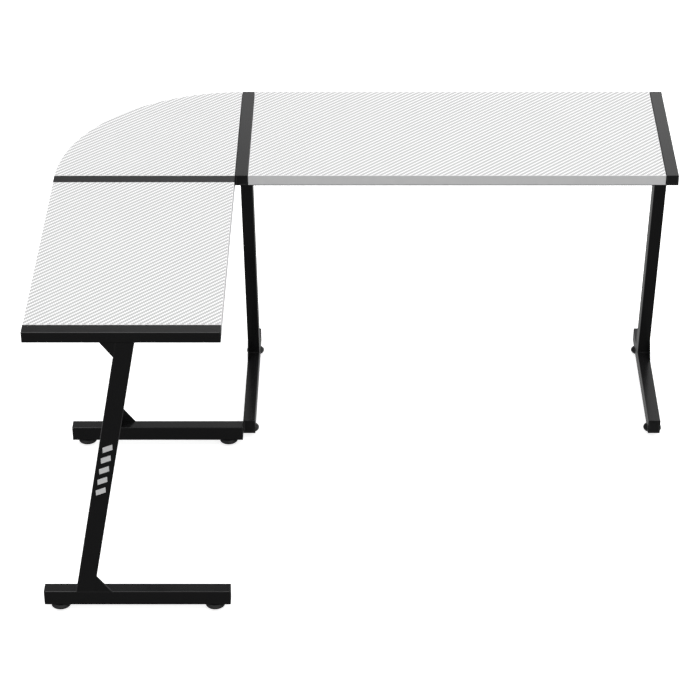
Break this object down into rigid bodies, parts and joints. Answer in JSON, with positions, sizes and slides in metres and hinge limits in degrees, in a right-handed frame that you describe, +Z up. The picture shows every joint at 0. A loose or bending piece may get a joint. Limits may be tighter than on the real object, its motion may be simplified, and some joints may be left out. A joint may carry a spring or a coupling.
{
  "type": "corner desk",
  "caption": "L-shaped corner desk: white boards with a quarter-round corner, set flush between black Z-shaped steel legs on levelling feet.",
  "frame": {"origin": "on the floor, under the middle of the desk's outline", "axes": "+X to the right along the long board, +Y back to the wall, +Z up"},
  "size_m": [1.4774, 1.1074, 0.75],
  "materials": {
    "white_laminate": "satin laminate with fine slanting grey lines",
    "white_edge": "satin",
    "black_steel": "semi-gloss powder coat",
    "black_plastic": "satin moulded",
    "foot_plastic": "satin moulded",
    "zinc_steel": "zinc plated"
  },
  "bodies": {
    "desk": {"board_bolts": "black_steel", "board_inserts": "zinc_steel", "corner_base_bar": "black_steel", "corner_board": "white_laminate", "corner_board_edge_band": "white_edge", "corner_end_caps": "black_plastic", "corner_foot_nuts": "zinc_steel", "corner_gussets": "black_steel", "corner_plate": "black_steel", "corner_post": "black_steel", "corner_tabs": "black_steel", "corner_top_bar": "black_steel", "left_board": "white_laminate", "left_board_edge_band": "white_edge", "left_end_base_bar": "black_steel", "left_end_end_caps": "black_plastic", "left_end_foot_nuts": "zinc_steel", "left_end_gussets": "black_steel", "left_end_post": "black_steel", "left_end_tabs": "black_steel", "left_end_top_bar": "black_steel", "left_inner_rail": "black_steel", "left_outer_rail": "black_steel", "long_back_rail": "black_steel", "long_board": "white_laminate", "long_board_edge_band": "white_edge", "long_front_rail": "black_steel", "middle_base_bar": "black_steel", "middle_end_caps": "black_plastic", "middle_foot_nuts": "zinc_steel", "middle_gussets": "black_steel", "middle_post": "black_steel", "middle_tabs": "black_steel", "middle_top_bar": "black_steel", "rail_screws": "zinc_steel", "right_end_base_bar": "black_steel", "right_end_end_caps": "black_plastic", "right_end_foot_nuts": "zinc_steel", "right_end_gussets": "black_steel", "right_end_post": "black_steel", "right_end_tabs": "black_steel", "right_end_top_bar": "black_steel"},
    "right_end_back_pad": {"right_end_back_pad": "foot_plastic"},
    "right_end_back_stud": {"right_end_back_stud": "zinc_steel"},
    "right_end_front_pad": {"right_end_front_pad": "foot_plastic"},
    "right_end_front_stud": {"right_end_front_stud": "zinc_steel"},
    "middle_back_pad": {"middle_back_pad": "foot_plastic"},
    "middle_back_stud": {"middle_back_stud": "zinc_steel"},
    "middle_front_pad": {"middle_front_pad": "foot_plastic"},
    "middle_front_stud": {"middle_front_stud": "zinc_steel"},
    "corner_left_pad": {"corner_left_pad": "foot_plastic"},
    "corner_left_stud": {"corner_left_stud": "zinc_steel"},
    "corner_right_pad": {"corner_right_pad": "foot_plastic"},
    "corner_right_stud": {"corner_right_stud": "zinc_steel"},
    "left_end_left_pad": {"left_end_left_pad": "foot_plastic"},
    "left_end_left_stud": {"left_end_left_stud": "zinc_steel"},
    "left_end_right_pad": {"left_end_right_pad": "foot_plastic"},
    "left_end_right_stud": {"left_end_right_stud": "zinc_steel"}
  },
  "joints": [
    {"name": "right_end_back_lift", "type": "slide", "parent": "desk", "child": "right_end_back_pad", "axis": [0, 0, -1], "range_m": [0, 0.01]},
    {"name": "right_end_back_turn", "type": "hinge", "parent": "right_end_back_pad", "child": "right_end_back_stud", "pos_m": [0.71625, 0.51775, 0], "axis": [0, 0, 1], "range_deg": [0, 2880]},
    {"name": "right_end_front_lift", "type": "slide", "parent": "desk", "child": "right_end_front_pad", "axis": [0, 0, -1], "range_m": [0, 0.01]},
    {"name": "right_end_front_turn", "type": "hinge", "parent": "right_end_front_pad", "child": "right_end_front_stud", "pos_m": [0.71625, 0.16475, 0], "axis": [0, 0, 1], "range_deg": [0, 2880]},
    {"name": "middle_back_lift", "type": "slide", "parent": "desk", "child": "middle_back_pad", "axis": [0, 0, -1], "range_m": [0, 0.01]},
    {"name": "middle_back_turn", "type": "hinge", "parent": "middle_back_pad", "child": "middle_back_stud", "pos_m": [-0.29875, 0.51775, 0], "axis": [0, 0, 1], "range_deg": [0, 2880]},
    {"name": "middle_front_lift", "type": "slide", "parent": "desk", "child": "middle_front_pad", "axis": [0, 0, -1], "range_m": [0, 0.01]},
    {"name": "middle_front_turn", "type": "hinge", "parent": "middle_front_pad", "child": "middle_front_stud", "pos_m": [-0.29875, 0.16475, 0], "axis": [0, 0, 1], "range_deg": [0, 2880]},
    {"name": "corner_left_lift", "type": "slide", "parent": "desk", "child": "corner_left_pad", "axis": [0, 0, -1], "range_m": [0, 0.01]},
    {"name": "corner_left_turn", "type": "hinge", "parent": "corner_left_pad", "child": "corner_left_stud", "pos_m": [-0.70275, 0.11375, 0], "axis": [0, 0, 1], "range_deg": [0, 2880]},
    {"name": "corner_right_lift", "type": "slide", "parent": "desk", "child": "corner_right_pad", "axis": [0, 0, -1], "range_m": [0, 0.01]},
    {"name": "corner_right_turn", "type": "hinge", "parent": "corner_right_pad", "child": "corner_right_stud", "pos_m": [-0.34975, 0.11375, 0], "axis": [0, 0, 1], "range_deg": [0, 2880]},
    {"name": "left_end_left_lift", "type": "slide", "parent": "desk", "child": "left_end_left_pad", "axis": [0, 0, -1], "range_m": [0, 0.01]},
    {"name": "left_end_left_turn", "type": "hinge", "parent": "left_end_left_pad", "child": "left_end_left_stud", "pos_m": [-0.70275, -0.53125, 0], "axis": [0, 0, 1], "range_deg": [0, 2880]},
    {"name": "left_end_right_lift", "type": "slide", "parent": "desk", "child": "left_end_right_pad", "axis": [0, 0, -1], "range_m": [0, 0.01]},
    {"name": "left_end_right_turn", "type": "hinge", "parent": "left_end_right_pad", "child": "left_end_right_stud", "pos_m": [-0.34975, -0.53125, 0], "axis": [0, 0, 1], "range_deg": [0, 2880]}
  ],
  "couplings": [
    {"joint": "right_end_back_turn", "follows": "right_end_back_lift", "rad_per_m": 5026.5},
    {"joint": "right_end_front_turn", "follows": "right_end_front_lift", "rad_per_m": 5026.5},
    {"joint": "middle_back_turn", "follows": "middle_back_lift", "rad_per_m": 5026.5},
    {"joint": "middle_front_turn", "follows": "middle_front_lift", "rad_per_m": 5026.5},
    {"joint": "corner_left_turn", "follows": "corner_left_lift", "rad_per_m": 5026.5},
    {"joint": "corner_right_turn", "follows": "corner_right_lift", "rad_per_m": 5026.5},
    {"joint": "left_end_left_turn", "follows": "left_end_left_lift", "rad_per_m": 5026.5},
    {"joint": "left_end_right_turn", "follows": "left_end_right_lift", "rad_per_m": 5026.5}
  ]
}
